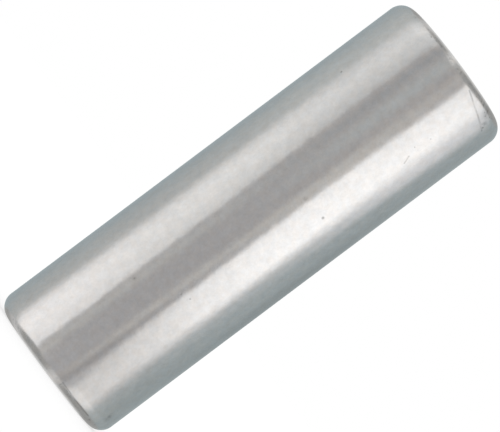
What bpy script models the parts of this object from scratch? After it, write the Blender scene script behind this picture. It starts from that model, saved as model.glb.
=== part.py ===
"""Gudgeon pin: a hollow, ground steel pin, standing on one end face.

Metres, +Z up along the pin's axis, origin at the middle of the lower end face.
Half of the pin's section is drawn as one closed outline, which is turned once
around the axis.
"""

import math

import bmesh
import bpy
from mathutils import Vector

# Driving dimensions, in metres.
LENGTH = 0.061
OUTSIDE_DIAMETER = 0.020
WALL = 0.004
END_EDGE_RADIUS = 0.002
BORE_CHAMFER = 0.0007

# The bore leaves the wall all around.
BORE_DIAMETER = OUTSIDE_DIAMETER - 2 * WALL

# The most that a round end edge takes of the wall beside the bore's chamfer, so
# that the end face keeps a flat ring.
LARGEST_EDGE_SHARE = 0.85

# How finely the round forms are cut into flats.
STEPS_AROUND = 120
STEPS_PER_END_EDGE = 8
SMOOTH_BELOW = math.radians(30)

# Ground steel.
STEEL_COLOUR = (0.60, 0.59, 0.58, 1.0)
STEEL_ROUGHNESS = 0.22
STEEL_METALLIC = 1.0


def clear_scene():
    """Removes every object that the scene starts with."""
    for thing in list(bpy.data.objects):
        bpy.data.objects.remove(thing, do_unlink=True)


def steel():
    """Bright ground steel."""
    material = bpy.data.materials.new("ground_steel")
    material.use_nodes = True
    shader = material.node_tree.nodes["Principled BSDF"]
    shader.inputs["Base Color"].default_value = STEEL_COLOUR
    shader.inputs["Roughness"].default_value = STEEL_ROUGHNESS
    shader.inputs["Metallic"].default_value = STEEL_METALLIC
    return material


def edge_radius():
    """The end edges' radius, limited by the wall that they round off."""
    return min(END_EDGE_RADIUS, (WALL - BORE_CHAMFER) * LARGEST_EDGE_SHARE)


def round_edge(middle_height, first_angle, last_angle):
    """The points of one rounded end edge, as an arc between two angles."""
    radius = edge_radius()
    middle_radius = OUTSIDE_DIAMETER / 2 - radius
    points = []
    for step in range(STEPS_PER_END_EDGE + 1):
        share = step / STEPS_PER_END_EDGE
        angle = first_angle + (last_angle - first_angle) * share
        points.append((
            middle_radius + radius * math.cos(angle),
            middle_height + radius * math.sin(angle),
        ))
    return points


def half_section():
    """The outline of half the pin's section, as (radius, height) points.

    It runs down the outer side, in along the lower end face, up the bore with
    its two chamfered mouths, and out along the upper end face.
    """
    bore = BORE_DIAMETER / 2
    upper_edge = round_edge(LENGTH - edge_radius(), math.pi / 2, 0.0)
    lower_edge = round_edge(edge_radius(), 0.0, -math.pi / 2)
    mouths_and_bore = [
        (bore + BORE_CHAMFER, 0.0),
        (bore, BORE_CHAMFER),
        (bore, LENGTH - BORE_CHAMFER),
        (bore + BORE_CHAMFER, LENGTH),
    ]
    return upper_edge + lower_edge + mouths_and_bore


def turned(name, outline):
    """A closed body made by turning a closed outline around the Z axis."""
    shape = bmesh.new()
    corners = [shape.verts.new((radius, 0.0, height)) for radius, height in outline]
    edges = [
        shape.edges.new((corners[index - 1], corners[index]))
        for index in range(len(corners))
    ]
    bmesh.ops.spin(
        shape,
        geom=corners + edges,
        cent=Vector((0.0, 0.0, 0.0)),
        axis=Vector((0.0, 0.0, 1.0)),
        angle=2 * math.pi,
        steps=STEPS_AROUND,
        use_merge=True,
        use_duplicate=False,
    )
    bmesh.ops.recalc_face_normals(shape, faces=shape.faces)
    mesh = bpy.data.meshes.new(name)
    shape.to_mesh(mesh)
    shape.free()
    mesh.shade_smooth()
    mesh.set_sharp_from_angle(angle=SMOOTH_BELOW)
    return mesh


def gudgeon_pin():
    """The whole pin, standing on its lower end face."""
    pin = bpy.data.objects.new("gudgeon_pin", turned("gudgeon_pin", half_section()))
    pin.data.materials.append(steel())
    bpy.context.scene.collection.objects.link(pin)
    return pin


clear_scene()
gudgeon_pin()
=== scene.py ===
import math

import bmesh
import bpy
from mathutils import Matrix, Vector


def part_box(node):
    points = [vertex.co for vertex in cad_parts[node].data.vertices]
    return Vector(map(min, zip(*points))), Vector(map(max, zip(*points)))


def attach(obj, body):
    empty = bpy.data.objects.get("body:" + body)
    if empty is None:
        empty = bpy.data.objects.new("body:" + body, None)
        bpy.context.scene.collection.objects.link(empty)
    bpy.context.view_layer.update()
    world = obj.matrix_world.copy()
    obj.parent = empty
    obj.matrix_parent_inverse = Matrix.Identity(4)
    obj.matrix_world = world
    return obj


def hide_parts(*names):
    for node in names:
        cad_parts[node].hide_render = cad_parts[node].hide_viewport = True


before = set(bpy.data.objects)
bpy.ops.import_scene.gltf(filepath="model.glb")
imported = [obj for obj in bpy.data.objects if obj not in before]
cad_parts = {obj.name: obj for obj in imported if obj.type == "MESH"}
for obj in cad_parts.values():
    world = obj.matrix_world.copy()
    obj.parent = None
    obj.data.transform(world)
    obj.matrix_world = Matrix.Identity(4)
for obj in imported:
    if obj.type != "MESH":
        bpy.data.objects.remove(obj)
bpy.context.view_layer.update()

# The pin's sizes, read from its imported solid, in metres.
NODE = "gudgeon_pin"
SAME_HEIGHT = 1e-5
LOW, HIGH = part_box(NODE)
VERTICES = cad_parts[NODE].data.vertices
CORNERS = [(math.hypot(vertex.co.x, vertex.co.y), vertex.co.z) for vertex in VERTICES]
ON_TOP = [radius for radius, height in CORNERS if abs(height - HIGH.z) < SAME_HEIGHT]
RADIUS = (HIGH.x - LOW.x) / 2
BORE_RADIUS = min(radius for radius, height in CORNERS)
FACE_OUTER = max(ON_TOP)
FACE_INNER = min(ON_TOP)
EDGE_RADIUS = RADIUS - FACE_OUTER
CHAMFER = FACE_INNER - BORE_RADIUS

# The photograph's frame and camera, in pixels, millimetres and metres. The lens
# is long, because the pin's sides are almost parallel in the photograph.
PICTURE_WIDTH = 500
SENSOR_WIDTH = 36.0
FOCAL_PIXELS = 4163.6
CAMERA_DISTANCE = 0.500
CAMERA_DROP = 0.0091
CAMERA_ASIDE = -0.000234
CAMERA_SEES = (0.01, 20.0)
AXIS_ABOVE_LEVEL = math.radians(36.873)

# How finely the dressed pin is turned, and how far its sharp corners are broken.
STEPS_AROUND = 384
STEPS_PER_EDGE = 20
STEPS_PER_BREAK = 3
EDGE_BREAK = 0.00012
ROW_PITCH = 0.003

# The scratches and a dark line round the foot's round edge, on the ground outside,
# as runs of (degrees to the right of the front, millimetres above the foot), and
# each with half its width in millimetres.
SLANTING_SCRATCH = ((20.8, 59.95), (31.0, 59.4), (39.8, 59.1), (55.4, 58.5))
SHORT_SCRATCH = ((35.0, 48.7), (32.6, 49.6))
# A dark line round the foot's round edge, a little above its end face.
FOOT_LINE = ((13.2, 0.95), (30.0, 0.8), (48.2, 0.85))
DARK_LINES = ((SLANTING_SCRATCH, 0.20), (SHORT_SCRATCH, 0.18), (FOOT_LINE, 0.16))

# The pits and the smudges, as places like those, and each with half its width.
PITS = (
    ((30.8, 37.1), 0.30), ((29.6, 50.8), 0.11), ((32.1, 52.9), 0.10), ((-14.4, 15.0), 0.14),
    ((12.9, 18.3), 0.14), ((19.6, 18.8), 0.14), ((-26.5, 60.2), 0.16), ((-47.9, 49.3), 0.20),
    ((38.5, 60.4), 0.20), ((45.6, 60.4), 0.22), ((43.2, 60.0), 0.18), ((45.8, 59.8), 0.20),
    ((51.2, 60.2), 0.16), ((34.5, 60.4), 0.14), ((53.0, 58.8), 0.24),
)
SMUDGES = (
    ((62.0, 2.6), 1.0), ((-14.4, 15.0), 0.40), ((12.1, 36.8), 0.45), ((46.0, 60.2), 1.1),
    ((50.8, 59.1), 0.9),
)

# Below, a SPAN is where something starts and ends. A CHANGE adds the two values
# that it goes between. A RIDGE is where something is strongest and how far it
# reaches on both sides.

# The steel's grains, as (waves per metre across the pin, waves per metre along it,
# detail of the noise, roughness of the noise), and its rings, as waves per metre.
CLOUDS = (420, 420, 3.0, 0.55)
MOTTLE = (900, 900, 4.0, 0.75)
RIPPLES = (800, 800, 1.0, 0.5)
TINT = (1200, 1200, 2.0, 0.5)
GRAIN = (2400, 2400, 2.0, 0.6)
GRINDING = (120, 9000, 2.0, 0.6)
BLOTS = (700, 700, 3.0, 0.6)
BORING = (60, 5000, 3.0, 0.6)
BORE_STAIN = (350, 180, 4.0, 0.6)
FINE_RINGS = 9000.0
BROAD_RINGS = 2600.0

# How deep they are, in metres.
CLOUDS_DEPTH = 10e-6
RIPPLES_DEPTH = 15e-6
GRAIN_DEPTH = 1.8e-6
GRINDING_DEPTH = 0.15e-6
MARKS_DEPTH = 9e-6
FINE_RINGS_DEPTH = 3e-6
BROAD_RINGS_DEPTH = 9e-6
BORING_DEPTH = 8e-6

# The steel's colours, in the dark and in the light parts of each grain.
WARM_DARK, WARM_LIGHT = (0.550, 0.538, 0.526), (0.792, 0.778, 0.768)
COOL_DARK, COOL_LIGHT = (0.536, 0.540, 0.544), (0.775, 0.781, 0.790)
TURNED_DARK, TURNED_LIGHT = (0.50, 0.49, 0.48), (0.62, 0.61, 0.60)
BORED_DARK, BORED_LIGHT = (0.26, 0.25, 0.24), (0.42, 0.41, 0.40)
MARK_COLOUR = (0.10, 0.10, 0.09)
GROOVE_COLOUR = (0.24, 0.23, 0.22)

# How the grains change the colour, the marks and the roughness.
TINT_SPAN = (0.35, 0.65)
LINES_STRENGTH_CHANGE = (0.35, 0.60, 0.20, 0.65)
SMUDGE_CHANGE = (0.3, 0.7, 0.15, 0.6)
SPECK_RIDGE = (0.0006, 0.0005)
SPECK_SPAN = (0.50, 0.72)
SPECK_SHARE = 0.45
MARK_SHARE = 0.65
GROOVE_CHANGE = (0.35, 0.65, 0.0, 0.22)
GROUND_ROUGHNESS_CHANGE = (0.25, 0.75, 0.19, 0.23)
TURNED_ROUGHNESS_CHANGE = (0.0, 1.0, 0.26, 0.36)
BORED_ROUGHNESS_CHANGE = (0.0, 1.0, 0.38, 0.55)

# Grinding runs around the pin, so gloss spreads along it.
ANISOTROPY = 0.6
QUARTER_TURN = 0.25


class Shading:
    """One material's nodes, with short ways to add them and to join them."""

    def __init__(self, name):
        self.material = bpy.data.materials.new(name)
        self.material.use_nodes = True
        self.nodes = self.material.node_tree.nodes
        self.links = self.material.node_tree.links
        self.shader = self.nodes["Principled BSDF"]

    def put(self, value, socket):
        """Sets a socket to a number or a colour, or joins another node's output to it."""
        if isinstance(value, bpy.types.NodeSocket):
            self.links.new(value, socket)
        elif isinstance(value, tuple) and len(socket.default_value) == 4:
            socket.default_value = (*value, 1.0)
        else:
            socket.default_value = value

    def math(self, operation, first, second=None, clamp=False):
        """One sum of numbers or outputs."""
        node = self.nodes.new("ShaderNodeMath")
        node.operation = operation
        node.use_clamp = clamp
        self.put(first, node.inputs[0])
        if second is not None:
            self.put(second, node.inputs[1])
        return node.outputs[0]

    def plus(self, first, second):
        """The two added."""
        return self.math("ADD", first, second)

    def minus(self, first, second):
        """The first less the second."""
        return self.math("SUBTRACT", first, second)

    def times(self, first, second):
        """The two multiplied."""
        return self.math("MULTIPLY", first, second)

    def smaller(self, first, second):
        """The smaller of two."""
        return self.math("MINIMUM", first, second)

    def largest(self, first, *others):
        """The largest of some numbers or outputs."""
        for other in others:
            first = self.math("MAXIMUM", first, other)
        return first

    def vector(self, operation, first, second=None):
        """One sum of vectors; its output is a number for LENGTH and DOT_PRODUCT."""
        node = self.nodes.new("ShaderNodeVectorMath")
        node.operation = operation
        self.put(first, node.inputs[0])
        if second is not None:
            self.put(second, node.inputs["Scale" if operation == "SCALE" else 1])
        return node.outputs["Value" if operation in ("LENGTH", "DOT_PRODUCT") else "Vector"]

    def joined(self, x, y, z=0.0):
        """The vector of three numbers."""
        node = self.nodes.new("ShaderNodeCombineXYZ")
        for number, socket in zip((x, y, z), node.inputs):
            self.put(number, socket)
        return node.outputs["Vector"]

    def split(self, vector):
        """The three numbers of a vector."""
        node = self.nodes.new("ShaderNodeSeparateXYZ")
        self.links.new(vector, node.inputs["Vector"])
        return tuple(node.outputs)

    def ramp(self, value, start, end, low=0.0, high=1.0, soft=True):
        """Goes from low to high while value goes from start to end, and stays level beyond them."""
        node = self.nodes.new("ShaderNodeMapRange")
        node.interpolation_type = "SMOOTHSTEP" if soft else "LINEAR"
        self.put(value, node.inputs["Value"])
        self.put(start, node.inputs["From Min"])
        self.put(end, node.inputs["From Max"])
        self.put(low, node.inputs["To Min"])
        self.put(high, node.inputs["To Max"])
        return node.outputs["Result"]

    def ridge(self, value, middle, reach):
        """1 at the middle, falling softly to 0 on both sides within the reach."""
        rise = self.ramp(value, middle - reach, middle)
        fall = self.ramp(value, middle, middle + reach)
        return self.minus(rise, fall)

    def mix(self, share, first, second):
        """A colour that goes from first to second as share goes from 0 to 1."""
        node = self.nodes.new("ShaderNodeMix")
        node.data_type = "RGBA"
        self.put(share, node.inputs["Factor"])
        self.put(first, node.inputs["A"])
        self.put(second, node.inputs["B"])
        return node.outputs["Result"]

    def point(self):
        """The surface point, as a vector in its object's own frame."""
        return self.nodes.new("ShaderNodeTexCoord").outputs["Object"]

    def noise(self, point, across, along, detail, roughness):
        """A noise with one scale across the pin and one along it, in 1/m."""
        mapping = self.nodes.new("ShaderNodeMapping")
        mapping.inputs["Scale"].default_value = (across, across, along)
        self.links.new(point, mapping.inputs["Vector"])
        texture = self.nodes.new("ShaderNodeTexNoise")
        texture.inputs["Scale"].default_value = 1.0
        texture.inputs["Detail"].default_value = detail
        texture.inputs["Roughness"].default_value = roughness
        self.links.new(mapping.outputs["Vector"], texture.inputs["Vector"])
        return texture.outputs["Fac"]

    def rings(self, from_axis, scale):
        """A noise that changes only with the distance from the axis, in 1/m."""
        texture = self.nodes.new("ShaderNodeTexNoise")
        texture.noise_dimensions = "1D"
        texture.inputs["Scale"].default_value = scale
        self.links.new(from_axis, texture.inputs["W"])
        return texture.outputs["Fac"]

    def bump(self, height, depth, below=None):
        """A normal from a height of 0 to 1, which stands for a depth in metres."""
        node = self.nodes.new("ShaderNodeBump")
        node.inputs["Strength"].default_value = 1.0
        node.inputs["Distance"].default_value = depth
        self.links.new(height, node.inputs["Height"])
        if below is not None:
            self.links.new(below, node.inputs["Normal"])
        return node.outputs["Normal"]


def on_outside(place):
    """A (degrees, millimetres) place as (distance around, height, 0) in metres."""
    degrees, millimetres = place
    return (RADIUS * math.radians(degrees), millimetres / 1000, 0.0)


def dark_line(shading, here, run, half_width):
    """1 along the middle of a dark line and 0 beside it."""
    stretches = []
    for first, last in zip(run, run[1:]):
        start = Vector(on_outside(first))
        along = Vector(on_outside(last)) - start
        offset = shading.vector("SUBTRACT", here, tuple(start))
        share = shading.vector("DOT_PRODUCT", offset, tuple(along / along.length_squared))
        share = shading.math("MULTIPLY", share, 1.0, clamp=True)
        nearest = shading.vector("SCALE", tuple(along), share)
        away = shading.vector("LENGTH", shading.vector("SUBTRACT", offset, nearest))
        stretches.append(shading.ramp(away, 0.0, half_width / 1000, 1.0, 0.0))
    return shading.largest(*stretches)


def spot(shading, here, place, half_width):
    """1 in the middle of a spot and 0 beside it."""
    away = shading.vector("LENGTH", shading.vector("SUBTRACT", here, on_outside(place)))
    return shading.ramp(away, 0.0, half_width / 1000, 1.0, 0.0)


def ground_steel():
    """The outside: ground and polished, mottled, with a few small marks."""
    shading = Shading("ground_steel")
    shader = shading.shader
    point = shading.point()
    x, y, z = shading.split(point)
    around = shading.math("ARCTAN2", x, shading.times(y, -1.0))
    here = shading.joined(shading.times(around, RADIUS), z)

    clouds = shading.noise(point, *CLOUDS)
    mottle = shading.noise(point, *MOTTLE)
    ripples = shading.noise(point, *RIPPLES)
    tint = shading.noise(point, *TINT)
    grain = shading.noise(point, *GRAIN)
    grinding = shading.noise(point, *GRINDING)

    dark_lines = shading.largest(*(dark_line(shading, here, *listed) for listed in DARK_LINES))
    dark_lines = shading.times(dark_lines, shading.ramp(mottle, *LINES_STRENGTH_CHANGE))
    pits = shading.largest(*(spot(shading, here, *listed) for listed in PITS))
    marks = shading.largest(dark_lines, pits)
    smudges = shading.largest(*(spot(shading, here, *listed) for listed in SMUDGES))
    smudges = shading.times(smudges, shading.ramp(grain, *SMUDGE_CHANGE))

    # Dark specks in a narrow band along each round end edge.
    from_end = shading.smaller(shading.minus(z, LOW.z), shading.minus(HIGH.z, z))
    specks = shading.times(shading.ridge(from_end, *SPECK_RIDGE), shading.ramp(grain, *SPECK_SPAN))
    darkened = shading.largest(marks, smudges, shading.times(specks, SPECK_SHARE))

    warm = shading.mix(mottle, WARM_DARK, WARM_LIGHT)
    cool = shading.mix(mottle, COOL_DARK, COOL_LIGHT)
    steel = shading.mix(shading.ramp(tint, *TINT_SPAN), warm, cool)
    worn = shading.mix(shading.times(darkened, MARK_SHARE), steel, MARK_COLOUR)
    shading.put(worn, shader.inputs["Base Color"])
    shading.put(shading.ramp(clouds, *GROUND_ROUGHNESS_CHANGE), shader.inputs["Roughness"])

    shader.inputs["Metallic"].default_value = 1.0
    shader.inputs["Anisotropic"].default_value = ANISOTROPY
    shader.inputs["Anisotropic Rotation"].default_value = QUARTER_TURN
    tangent = shading.nodes.new("ShaderNodeTangent")
    tangent.direction_type = "RADIAL"
    tangent.axis = "Z"
    shading.put(tangent.outputs["Tangent"], shader.inputs["Tangent"])

    clouded = shading.bump(clouds, CLOUDS_DEPTH)
    rippled = shading.bump(ripples, RIPPLES_DEPTH, clouded)
    grained = shading.bump(grain, GRAIN_DEPTH, rippled)
    ground = shading.bump(grinding, GRINDING_DEPTH, grained)
    marked = shading.bump(shading.minus(1.0, marks), MARKS_DEPTH, ground)
    shading.put(marked, shader.inputs["Normal"])
    return shading.material


def turned_steel():
    """The end faces and chamfers: turned, with rings around the axis."""
    shading = Shading("turned_steel")
    shader = shading.shader
    point = shading.point()
    x, y, _ = shading.split(point)
    from_axis = shading.math("SQRT", shading.plus(shading.times(x, x), shading.times(y, y)))
    fine_rings = shading.rings(from_axis, FINE_RINGS)
    broad_rings = shading.rings(from_axis, BROAD_RINGS)
    blots = shading.noise(point, *BLOTS)

    steel = shading.mix(blots, TURNED_DARK, TURNED_LIGHT)
    grooved = shading.mix(shading.ramp(broad_rings, *GROOVE_CHANGE), steel, GROOVE_COLOUR)
    roughness = shading.ramp(blots, *TURNED_ROUGHNESS_CHANGE, soft=False)
    broad = shading.bump(broad_rings, BROAD_RINGS_DEPTH)
    shader.inputs["Metallic"].default_value = 1.0
    shading.put(grooved, shader.inputs["Base Color"])
    shading.put(roughness, shader.inputs["Roughness"])
    shading.put(shading.bump(fine_rings, FINE_RINGS_DEPTH, broad), shader.inputs["Normal"])
    return shading.material


def bored_steel():
    """The bore: duller and darker, with the boring tool's marks around it."""
    shading = Shading("bored_steel")
    shader = shading.shader
    point = shading.point()
    tool_marks = shading.noise(point, *BORING)
    stain = shading.noise(point, *BORE_STAIN)
    roughness = shading.ramp(stain, *BORED_ROUGHNESS_CHANGE, soft=False)
    shader.inputs["Metallic"].default_value = 1.0
    shading.put(shading.mix(stain, BORED_DARK, BORED_LIGHT), shader.inputs["Base Color"])
    shading.put(roughness, shader.inputs["Roughness"])
    shading.put(shading.bump(tool_marks, BORING_DEPTH), shader.inputs["Normal"])
    return shading.material


def arc(middle, radius, first, last, steps):
    """Points of an arc in the section, from one angle to another."""
    out, up = middle
    angles = (first + (last - first) * step / steps for step in range(steps + 1))
    return [(out + radius * math.cos(angle), up + radius * math.sin(angle)) for angle in angles]


def broken_corner(before, corner, after):
    """A sharp corner of the section, taken off with a tiny curve."""
    here = Vector(corner)
    start = here + (Vector(before) - here).normalized() * EDGE_BREAK
    end = here + (Vector(after) - here).normalized() * EDGE_BREAK
    points = []
    for step in range(STEPS_PER_BREAK + 1):
        share = step / STEPS_PER_BREAK
        point = start * (1 - share) ** 2 + here * 2 * share * (1 - share) + end * share ** 2
        points.append((point.x, point.y))
    return points


def rows(first, last):
    """The heights of the rows between two heights, both ends left out."""
    count = max(2, round(abs(last - first) / ROW_PITCH))
    return [first + (last - first) * step / count for step in range(1, count)]


def half_section():
    """The section's outline as [(radius, height, material index), ...].

    It runs from the upper end face down the outer side, in along the lower end
    face and up through the bore. An index is that of the strip that follows.
    """
    ground, turned, bored = 0, 1, 2
    edge_centre = RADIUS - EDGE_RADIUS
    high_edge, low_edge = HIGH.z - EDGE_RADIUS, LOW.z + EDGE_RADIUS
    high_face, low_face = (edge_centre, HIGH.z), (edge_centre, LOW.z)
    high_mouth, low_mouth = (FACE_INNER, HIGH.z), (FACE_INNER, LOW.z)
    high_bore, low_bore = (BORE_RADIUS, HIGH.z - CHAMFER), (BORE_RADIUS, LOW.z + CHAMFER)
    outline = []

    def add(points, index):
        outline.extend((radius, height, index) for radius, height in points)

    add(arc((edge_centre, high_edge), EDGE_RADIUS, math.pi / 2, 0, STEPS_PER_EDGE), ground)
    add([(RADIUS, height) for height in rows(high_edge, low_edge)], ground)
    add(arc((edge_centre, low_edge), EDGE_RADIUS, 0, -math.pi / 2, STEPS_PER_EDGE)[:-1], ground)
    add([low_face], turned)
    add(broken_corner(low_face, low_mouth, low_bore), turned)
    low_break = broken_corner(low_mouth, low_bore, high_bore)
    add(low_break[:-1], turned)
    add(low_break[-1:], bored)
    add([(BORE_RADIUS, height) for height in rows(low_bore[1], high_bore[1])], bored)
    add(broken_corner(low_bore, high_bore, high_mouth), turned)
    add(broken_corner(high_bore, high_mouth, high_face), turned)
    return outline


def ring_of_corners(shape, radius, height, count):
    """A level ring of corners around the Z axis."""
    corners = []
    for step in range(count):
        angle = 2 * math.pi * step / count
        corners.append(shape.verts.new((radius * math.cos(angle), radius * math.sin(angle), height)))
    return corners


def strip(shape, ring, after):
    """The faces between two rings."""
    faces = []
    for step in range(len(ring)):
        beside = (step + 1) % len(ring)
        faces.append(shape.faces.new((ring[step], after[step], after[beside], ring[beside])))
    return faces


def finished_mesh(name, shape):
    """The mesh that a bmesh holds."""
    mesh = bpy.data.meshes.new(name)
    shape.to_mesh(mesh)
    shape.free()
    return mesh


def turned_mesh(name, outline):
    """The outline turned around the Z axis, as a closed mesh of quads."""
    shape = bmesh.new()
    rings = [ring_of_corners(shape, radius, height, STEPS_AROUND) for radius, height, _ in outline]
    for index, (_, _, slot) in enumerate(outline):
        for face in strip(shape, rings[index], rings[(index + 1) % len(rings)]):
            face.material_index = slot
            face.smooth = True
    return finished_mesh(name, shape)


def dressed_pin():
    """The pin as it is seen, in place of the plain solid."""
    pin = bpy.data.objects.new("ground_pin", turned_mesh("ground_pin", half_section()))
    for made in (ground_steel(), turned_steel(), bored_steel()):
        pin.data.materials.append(made)
    bpy.context.scene.collection.objects.link(pin)
    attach(pin, "root")
    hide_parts(NODE)


def camera():
    """The photograph's camera: level with the pin, rolled so that the pin leans to the right."""
    data = bpy.data.cameras.new("camera")
    data.sensor_width = SENSOR_WIDTH
    data.lens = FOCAL_PIXELS * SENSOR_WIDTH / PICTURE_WIDTH
    data.clip_start, data.clip_end = CAMERA_SEES
    made = bpy.data.objects.new("camera", data)
    middle = (LOW.z + HIGH.z) / 2
    eye = Vector((CAMERA_ASIDE, -CAMERA_DISTANCE, middle - CAMERA_DROP))
    aim = Vector((CAMERA_ASIDE, 0.0, middle))
    ahead = (aim - eye).normalized()
    level = ahead.to_track_quat("-Z", "Y").to_matrix().to_4x4()
    roll = Matrix.Rotation(math.pi / 2 - AXIS_ABOVE_LEVEL, 4, "Z")
    made.matrix_world = Matrix.Translation(eye) @ level @ roll
    bpy.context.scene.collection.objects.link(made)
    bpy.context.scene.camera = made


# The cards stand around the pin, out of the picture, as one tube that is closed
# above and below. Sizes are in metres. In what follows, angles are in degrees
# round from the front, to the right, heights are in metres above the pin's foot,
# and a light of 1 is white.
CARD_DISTANCE = 0.060
CARD_REACH = 0.60
CARD_ROWS = 60
CARD_SIDES = 144
CARD_CAP_HOLE = 0.0002
TO_THE_FRONT = (0.0, -1.0, 0.0)
BLACK = (0.0, 0.0, 0.0)
WHITE = (1.0, 1.0, 1.0)


def card_places(shading):
    """Where a point of the cards stands, as seen from the pin: (angle, lean, z).

    The angle is in degrees round from the front, to the right. A card that runs
    on above or below the pin leans outwards there, so that it is mirrored in a
    straight band right over the pin's round end edges. The lean is 0 beside the
    pin and 1 straight above, below or behind it.
    """
    x, y, z = shading.split(shading.point())
    above = shading.largest(shading.minus(z, HIGH.z), 0.0)
    under = shading.smaller(shading.minus(z, LOW.z), 0.0)
    way = shading.vector("NORMALIZE", shading.joined(x, y, shading.plus(above, under)))
    halfway = shading.vector("NORMALIZE", shading.vector("ADD", way, TO_THE_FRONT))
    aside, back, lean = shading.split(halfway)
    half = shading.math("ARCTAN2", aside, shading.times(back, -1.0))
    angle = shading.times(half, 2 * math.degrees(1))
    return angle, shading.math("ABSOLUTE", lean), z


# The grey room between and behind the cards.
ROOM_FRONT_FOOT = (0.53, 0.52, 0.52)
ROOM_FRONT_LOW = (0.49, 0.48, 0.48)
ROOM_FRONT_HIGH = (0.51, 0.49, 0.48)
ROOM_LEFT_LOW = (0.58, 0.59, 0.58)
ROOM_LEFT_HIGH = (0.63, 0.65, 0.64)
ROOM_FAR_LEFT = (0.40, 0.46, 0.48)
ROOM_RIGHT_FOOT = (0.50, 0.54, 0.54)
ROOM_RIGHT_LOW = (0.40, 0.44, 0.44)
ROOM_RIGHT_HIGH = (0.47, 0.52, 0.53)
ROOM_FAR_RIGHT = (0.39, 0.44, 0.45)
ROOM_HEIGHT_SPAN = (0.028, 0.049)
ROOM_FRONT_FOOT_SPAN = (-0.004, 0.006)
ROOM_RIGHT_FOOT_SPAN = (-0.004, 0.001)
ROOM_RIGHT_HEIGHT_SPAN = (-0.002, 0.021)
ROOM_FAR_LEFT_SPAN = (-153, -86)
ROOM_LEFT_SPAN = (-84, -60)
ROOM_RIGHT_SPAN = (60, 90)
ROOM_FAR_RIGHT_SPAN = (90, 140)
FAR_RIGHT_SHADE_RIDGE = (0.029, 0.026)
FAR_RIGHT_SHADE_CHANGE = (112, 136, 0.0, 0.15)


def room_light(shading, angle, z):
    """The grey room between and behind the bright cards, bluer at the sides."""
    higher = shading.ramp(z, *ROOM_HEIGHT_SPAN)
    front = shading.mix(shading.ramp(z, *ROOM_FRONT_FOOT_SPAN), ROOM_FRONT_FOOT, ROOM_FRONT_LOW)
    front = shading.mix(higher, front, ROOM_FRONT_HIGH)

    left = shading.mix(higher, ROOM_LEFT_LOW, ROOM_LEFT_HIGH)
    left = shading.mix(shading.ramp(angle, *ROOM_FAR_LEFT_SPAN), ROOM_FAR_LEFT, left)

    right = shading.mix(shading.ramp(z, *ROOM_RIGHT_FOOT_SPAN), ROOM_RIGHT_FOOT, ROOM_RIGHT_LOW)
    right = shading.mix(shading.ramp(z, *ROOM_RIGHT_HEIGHT_SPAN), right, ROOM_RIGHT_HIGH)
    right = shading.mix(shading.ramp(angle, *ROOM_FAR_RIGHT_SPAN), right, ROOM_FAR_RIGHT)
    shade = shading.ramp(angle, *FAR_RIGHT_SHADE_CHANGE)
    shade = shading.times(shading.ridge(z, *FAR_RIGHT_SHADE_RIDGE), shade)
    right = shading.mix(shade, right, BLACK)

    light = shading.mix(shading.ramp(angle, *ROOM_LEFT_SPAN), left, front)
    return shading.mix(shading.ramp(angle, *ROOM_RIGHT_SPAN), light, right)


# The soft stripes in the room's front part, and the dark line beside the
# right-hand card.
LEFT_STRIPE_LOW = (0.61, 0.60, 0.58)
LEFT_STRIPE_HIGH = (0.43, 0.44, 0.45)
LEFT_STRIPE_HEIGHT_SPAN = (0.020, 0.054)
LEFT_STRIPE_RIDGE = (-24.6, 8.7)
RIGHT_STRIPE_LOW = (0.53, 0.51, 0.49)
RIGHT_STRIPE_HIGH = (0.67, 0.65, 0.62)
RIGHT_STRIPE_HEIGHT_SPAN = (-0.004, 0.014)
RIGHT_STRIPE_RISE_SPAN = (9.2, 16.2)
RIGHT_STRIPE_FALL_START_CHANGE = (0.030, 0.044, 16.2, 21.5)
RIGHT_STRIPE_FALL_END_CHANGE = (0.026, 0.038, 23.2, 38.0)
RIGHT_STRIPE_NARROWER_CHANGE = (0.048, 0.060, 0.0, 13.0)
RIGHT_STRIPE_FADE_CHANGE = (0.047, 0.062, 1.0, 0.45)
FRONT_STRIPE = (0.56, 0.58, 0.58)
FRONT_STRIPE_HEIGHT_SPAN = (0.030, 0.052)
FRONT_STRIPE_RIDGE = (-7.0, 14.4)
DARK_LINE_RIDGE = (23.0, 6.0)
DARK_LINE_CHANGE = (0.008, 0.018, 0.25, 0.0)


def front_stripes(shading, angle, z, light):
    """Lays three soft stripes and a dark line over the room's front part."""
    stripe = shading.mix(shading.ramp(z, *LEFT_STRIPE_HEIGHT_SPAN), LEFT_STRIPE_LOW, LEFT_STRIPE_HIGH)
    light = shading.mix(shading.ridge(angle, *LEFT_STRIPE_RIDGE), light, stripe)

    # The right-hand stripe gets wider with height, and narrower again at the top.
    stripe = shading.mix(shading.ramp(z, *RIGHT_STRIPE_HEIGHT_SPAN), RIGHT_STRIPE_LOW, RIGHT_STRIPE_HIGH)
    fall_start = shading.ramp(z, *RIGHT_STRIPE_FALL_START_CHANGE)
    fall_end = shading.ramp(z, *RIGHT_STRIPE_FALL_END_CHANGE)
    fall_end = shading.minus(fall_end, shading.ramp(z, *RIGHT_STRIPE_NARROWER_CHANGE))
    rise = shading.ramp(angle, *RIGHT_STRIPE_RISE_SPAN)
    share = shading.minus(rise, shading.ramp(angle, fall_start, fall_end))
    share = shading.times(share, shading.ramp(z, *RIGHT_STRIPE_FADE_CHANGE))
    light = shading.mix(share, light, stripe)

    share = shading.ramp(z, *FRONT_STRIPE_HEIGHT_SPAN)
    share = shading.times(shading.ridge(angle, *FRONT_STRIPE_RIDGE), share)
    light = shading.mix(share, light, FRONT_STRIPE)

    share = shading.ramp(z, *DARK_LINE_CHANGE)
    share = shading.times(shading.ridge(angle, *DARK_LINE_RIDGE), share)
    return shading.mix(share, light, BLACK)


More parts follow.
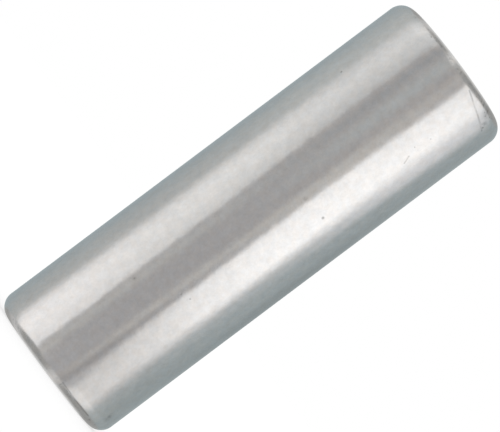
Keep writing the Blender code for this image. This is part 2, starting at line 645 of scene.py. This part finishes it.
# The screen behind the right-hand card: dim at the foot, bright higher up.
SCREEN = (0.94, 0.94, 0.95)
SCREEN_INNER_SPAN = (65, 77)
SCREEN_OUTER_START = 87
SCREEN_OUTER_END_CHANGE = (0.040, 0.062, 100, 111)
SCREEN_FOOT_CHANGE = (0.002, 0.018, 0.11, 0.16)
SCREEN_RISE_CHANGE = (0.026, 0.054, 0.0, 0.84)
SCREEN_TOP_CHANGE = (0.058, 0.067, 1.0, 0.78)


def screen(shading, angle, z, light):
    """Lays the screen behind the right-hand card over the light."""
    outer_end = shading.ramp(z, *SCREEN_OUTER_END_CHANGE)
    outer = shading.ramp(angle, SCREEN_OUTER_START, outer_end)
    width = shading.minus(shading.ramp(angle, *SCREEN_INNER_SPAN), outer)
    share = shading.plus(shading.ramp(z, *SCREEN_FOOT_CHANGE), shading.ramp(z, *SCREEN_RISE_CHANGE))
    share = shading.times(share, shading.ramp(z, *SCREEN_TOP_CHANGE))
    return shading.mix(shading.times(width, share), light, SCREEN)


# The right-hand card. Its inner edge is soft at the foot and sharpest at half
# height, and both of its edges move a little further round near one end.
RIGHT_CARD_LOW = (0.82, 0.80, 0.78)
RIGHT_CARD_HIGH = (1.50, 1.48, 1.46)
RIGHT_CARD_HEIGHT_SPAN = (-0.004, 0.032)
RIGHT_CARD_TOP_CHANGE = (0.044, 0.060, 0.0, 0.10)
RIGHT_CARD_FOOT_CHANGE = (-0.004, -0.0005, 0.38, 0.0)
RIGHT_CARD_INNER_MOVE_CHANGE = (0.046, 0.060, 0.0, 2.3)
RIGHT_CARD_INNER_START_CHANGE = (0.020, 0.040, 26.3, 24.6)
RIGHT_CARD_INNER_END_CHANGE = (-0.004, 0.018, 46.0, 29.0)
RIGHT_CARD_INNER_SOFTER_CHANGE = (0.036, 0.062, 0.0, 2.0)
RIGHT_CARD_OUTER_MOVE_CHANGE = (-0.006, 0.0, 4.0, 0.0)
RIGHT_CARD_OUTER_SPAN = (63.9, 85.6)
RIGHT_CARD_INNER_SHADE_CHANGE = (26, 66, 0.13, 0.0)
RIGHT_CARD_TOP_SHADE_CHANGE = (0.060, 0.067, 0.0, 0.10)


def right_card(shading, angle, z, light):
    """Lays the right-hand card over the light."""
    inner_start = shading.ramp(z, *RIGHT_CARD_INNER_START_CHANGE)
    inner_end = shading.ramp(z, *RIGHT_CARD_INNER_END_CHANGE)
    inner_end = shading.plus(inner_end, shading.ramp(z, *RIGHT_CARD_INNER_SOFTER_CHANGE))
    from_inner = shading.minus(angle, shading.ramp(z, *RIGHT_CARD_INNER_MOVE_CHANGE))
    from_outer = shading.minus(angle, shading.ramp(z, *RIGHT_CARD_OUTER_MOVE_CHANGE))
    outer = shading.ramp(from_outer, *RIGHT_CARD_OUTER_SPAN)
    card = shading.minus(shading.ramp(from_inner, inner_start, inner_end), outer)

    level = shading.mix(shading.ramp(z, *RIGHT_CARD_HEIGHT_SPAN), RIGHT_CARD_LOW, RIGHT_CARD_HIGH)
    level = shading.mix(shading.ramp(z, *RIGHT_CARD_TOP_CHANGE), level, RIGHT_CARD_LOW)
    level = shading.mix(shading.ramp(z, *RIGHT_CARD_FOOT_CHANGE), level, RIGHT_CARD_HIGH)
    shade = shading.ramp(angle, *RIGHT_CARD_INNER_SHADE_CHANGE, soft=False)
    shade = shading.plus(shade, shading.ramp(z, *RIGHT_CARD_TOP_SHADE_CHANGE))
    return shading.mix(card, light, shading.mix(shade, level, BLACK))


# The left-hand card, brightest in its middle and near the pin's foot.
LEFT_CARD_LOW = (1.24, 1.21, 1.19)
LEFT_CARD_MIDDLE = (1.06, 1.05, 1.03)
LEFT_CARD_HIGH = (0.90, 0.90, 0.89)
LEFT_CARD_MIDDLE_SPAN = (0.002, 0.022)
LEFT_CARD_HIGH_SPAN = (0.034, 0.056)
LEFT_CARD_TOP_CHANGE = (0.060, 0.068, 0.0, 0.5)
LEFT_CARD_OUTER_START_CHANGE = (0.005, 0.020, -96.2, -93.4)
LEFT_CARD_OUTER_END = -78.8
LEFT_CARD_INNER_SPAN = (-34.4, -32.0)
LEFT_CARD_INNER_MOVE_CHANGE = (0.0, 0.060, 0.0, 3.0)
LEFT_CARD_INNER_SHADE_SPAN = (-66, -34)
LEFT_CARD_INNER_SHADE_CHANGE = (0.024, 0.046, 0.12, 0.25)
LEFT_CARD_OUTER_SHADE_CHANGE = (-92, -66, 0.17, 0.0)


def left_card(shading, angle, z, light):
    """Lays the left-hand card over the light."""
    outer_start = shading.ramp(z, *LEFT_CARD_OUTER_START_CHANGE)
    from_inner = shading.plus(angle, shading.ramp(z, *LEFT_CARD_INNER_MOVE_CHANGE))
    outer = shading.ramp(angle, outer_start, LEFT_CARD_OUTER_END)
    card = shading.minus(outer, shading.ramp(from_inner, *LEFT_CARD_INNER_SPAN))

    level = shading.mix(shading.ramp(z, *LEFT_CARD_MIDDLE_SPAN), LEFT_CARD_LOW, LEFT_CARD_MIDDLE)
    level = shading.mix(shading.ramp(z, *LEFT_CARD_HIGH_SPAN), level, LEFT_CARD_HIGH)
    level = shading.mix(shading.ramp(z, *LEFT_CARD_TOP_CHANGE), level, LEFT_CARD_MIDDLE)
    inner_shade = shading.ramp(z, *LEFT_CARD_INNER_SHADE_CHANGE)
    inner_shade = shading.times(shading.ramp(angle, *LEFT_CARD_INNER_SHADE_SPAN), inner_shade)
    level = shading.mix(inner_shade, level, BLACK)
    level = shading.mix(shading.ramp(angle, *LEFT_CARD_OUTER_SHADE_CHANGE), level, BLACK)
    return shading.mix(card, light, level)


# The dim light past the pin's ends, and the two glows and the rim in it. The
# rim's span, the lamps' lean spans and where the dim part starts are leans.
END_DIM = (0.41, 0.41, 0.40)
END_GLOW = (0.72, 0.71, 0.70)
END_RIM = (0.80, 0.80, 0.79)
HIGH_GLOW_RIDGE = (-84, 33)
LOW_GLOW_RIDGE = (-98, 34)
END_RIM_SPAN = (0.80, 0.93)
HIGH_START_CHANGE = (25, 65, 0.53, 0.58)
HIGH_START_LATER_CHANGE = (-30, -5, 0.14, 0.0)
LOW_START_CHANGE = (-76, -40, 0.54, 0.46)
LOW_START_LATER_CHANGE = (-30, -20, 0.0, 0.11)
LOW_START_SOONER_CHANGE = (50, 68, 0.0, 0.08)
START_SOFTNESS = 0.035

# The two small lamps in the dim light, one past each end.
HIGH_LAMP = (0.98, 0.96, 0.93)
HIGH_LAMP_RISE_SPAN = (-28, -11)
HIGH_LAMP_FALL_SPAN = (-11, 9)
HIGH_LAMP_FAINT_RIDGE = (2, 28)
HIGH_LAMP_FAINT_SHARE = 0.22
HIGH_LAMP_LATER_CHANGE = (-14, -4, 0.09, 0.0)
HIGH_LAMP_LEAN_SPAN = (0.38, 0.58)
LOW_LAMP = (0.86, 0.84, 0.82)
LOW_LAMP_RIDGE = (13, 25)
LOW_LAMP_LEAN_SPAN = (0.42, 0.60)
LAMP_FADE = 0.02


def end_lamps(shading, angle, lean, z):
    """How strongly the lamps past the upper and the lower end glow."""
    high = shading.ramp(angle, *HIGH_LAMP_RISE_SPAN)
    high = shading.minus(high, shading.ramp(angle, *HIGH_LAMP_FALL_SPAN))
    faint = shading.times(shading.ridge(angle, *HIGH_LAMP_FAINT_RIDGE), HIGH_LAMP_FAINT_SHARE)
    high = shading.largest(high, faint)
    later = shading.minus(lean, shading.ramp(angle, *HIGH_LAMP_LATER_CHANGE))
    high = shading.times(high, shading.ramp(later, *HIGH_LAMP_LEAN_SPAN))
    high = shading.times(high, shading.ramp(z, HIGH.z, HIGH.z + LAMP_FADE))

    low = shading.times(shading.ridge(angle, *LOW_LAMP_RIDGE), shading.ramp(lean, *LOW_LAMP_LEAN_SPAN))
    low = shading.times(low, shading.ramp(z, LOW.z, LOW.z - LAMP_FADE))
    return high, low


def dim_start(shading, angle, z):
    """The lean from which the light past the ends is dim."""
    high = shading.ramp(angle, *HIGH_START_CHANGE)
    high = shading.plus(high, shading.ramp(angle, *HIGH_START_LATER_CHANGE))
    low = shading.ramp(angle, *LOW_START_CHANGE)
    low = shading.plus(low, shading.ramp(angle, *LOW_START_LATER_CHANGE))
    low = shading.minus(low, shading.ramp(angle, *LOW_START_SOONER_CHANGE))
    return shading.ramp(z, LOW.z, HIGH.z, low, high)


def past_the_ends(shading, angle, lean, z, light):
    """Dims the light above and below the pin, and adds its two glows, its rim and its two lamps."""
    low_glow = shading.mix(shading.ridge(angle, *LOW_GLOW_RIDGE), END_DIM, END_GLOW)
    high_glow = shading.mix(shading.ridge(angle, *HIGH_GLOW_RIDGE), END_DIM, END_GLOW)
    dim = shading.mix(shading.ramp(z, LOW.z, HIGH.z), low_glow, high_glow)
    dim = shading.mix(shading.ramp(lean, *END_RIM_SPAN), dim, END_RIM)

    high_lamp, low_lamp = end_lamps(shading, angle, lean, z)
    dim = shading.mix(high_lamp, dim, HIGH_LAMP)
    dim = shading.mix(low_lamp, dim, LOW_LAMP)

    further = shading.minus(lean, dim_start(shading, angle, z))
    past = shading.ramp(further, -START_SOFTNESS, START_SOFTNESS)
    return shading.mix(shading.largest(past, high_lamp, low_lamp), light, dim)


# A tall card straight behind the pin, which gives its far side a band too.
BACK_CARD = (0.95, 0.95, 0.95)
BACK_CARD_SPAN = (166, 174)


def card_glow():
    """The cards' light."""
    shading = Shading("card_glow")
    angle, lean, z = card_places(shading)
    light = room_light(shading, angle, z)
    light = front_stripes(shading, angle, z, light)
    light = screen(shading, angle, z, light)
    light = right_card(shading, angle, z, light)
    light = left_card(shading, angle, z, light)
    light = past_the_ends(shading, angle, lean, z, light)
    behind = shading.ramp(shading.math("ABSOLUTE", angle), *BACK_CARD_SPAN)
    light = shading.mix(behind, light, BACK_CARD)

    shading.nodes.remove(shading.shader)
    emission = shading.nodes.new("ShaderNodeEmission")
    shading.put(light, emission.inputs["Color"])
    shading.put(emission.outputs["Emission"], shading.nodes["Material Output"].inputs["Surface"])
    shading.material.cycles.emission_sampling = "NONE"
    return shading.material


def cards():
    """The tube of cards around the pin, which only its steel sees."""
    pitch = 2 * CARD_REACH / CARD_ROWS
    profile = [(CARD_CAP_HOLE, CARD_REACH)]
    profile += [(CARD_DISTANCE, CARD_REACH - pitch * row) for row in range(CARD_ROWS + 1)]
    profile += [(CARD_CAP_HOLE, -CARD_REACH)]
    shape = bmesh.new()
    rings = [ring_of_corners(shape, radius, height, CARD_SIDES) for radius, height in profile]
    for ring, after in zip(rings, rings[1:]):
        strip(shape, ring, after)
    made = bpy.data.objects.new("cards", finished_mesh("cards", shape))
    made.data.materials.append(card_glow())
    bpy.context.scene.collection.objects.link(made)
    made.visible_camera = False
    made.visible_diffuse = False
    made.visible_shadow = False
    made.visible_transmission = False


# The floor. Its grey in the daylight and its glow add up to white, wherever the
# pin doesn't shade it.
FLOOR_REACH = 30.0
FLOOR_GREY = (0.42, 0.42, 0.42)
FLOOR_GLOW = 0.6


def floor_surface():
    """White as the camera, metal and glass see it, and able to take a shadow."""
    shading = Shading("floor")
    shader = shading.shader
    rays = shading.nodes.new("ShaderNodeLightPath").outputs
    seen = shading.largest(rays["Is Camera Ray"], rays["Is Glossy Ray"], rays["Is Transmission Ray"])
    shading.put(FLOOR_GREY, shader.inputs["Base Color"])
    shading.put(WHITE, shader.inputs["Emission Color"])
    shading.put(shading.times(seen, FLOOR_GLOW), shader.inputs["Emission Strength"])
    shader.inputs["Roughness"].default_value = 1.0
    shader.inputs["Specular IOR Level"].default_value = 0.0
    return shading.material


def floor():
    """A plain pale floor that keeps the pin's soft shadow."""
    near, far = -FLOOR_REACH, FLOOR_REACH
    corners = [(near, near, 0), (far, near, 0), (far, far, 0), (near, far, 0)]
    mesh = bpy.data.meshes.new("floor")
    mesh.from_pydata(corners, [], [(0, 1, 2, 3)])
    mesh.materials.append(floor_surface())
    plane = bpy.data.objects.new("floor", mesh)
    bpy.context.scene.collection.objects.link(plane)

    # The cards take the floor's place in the steel's mirror image.
    plane.visible_glossy = False


def daylight():
    """An even white surround."""
    world = bpy.data.worlds.new("daylight")
    world.use_nodes = True
    background = world.node_tree.nodes["Background"]
    background.inputs["Color"].default_value = (*WHITE, 1.0)
    background.inputs["Strength"].default_value = 1.0
    bpy.context.scene.world = world


bpy.context.scene.view_settings.view_transform = "Standard"
camera()
daylight()
floor()
cards()
dressed_pin()
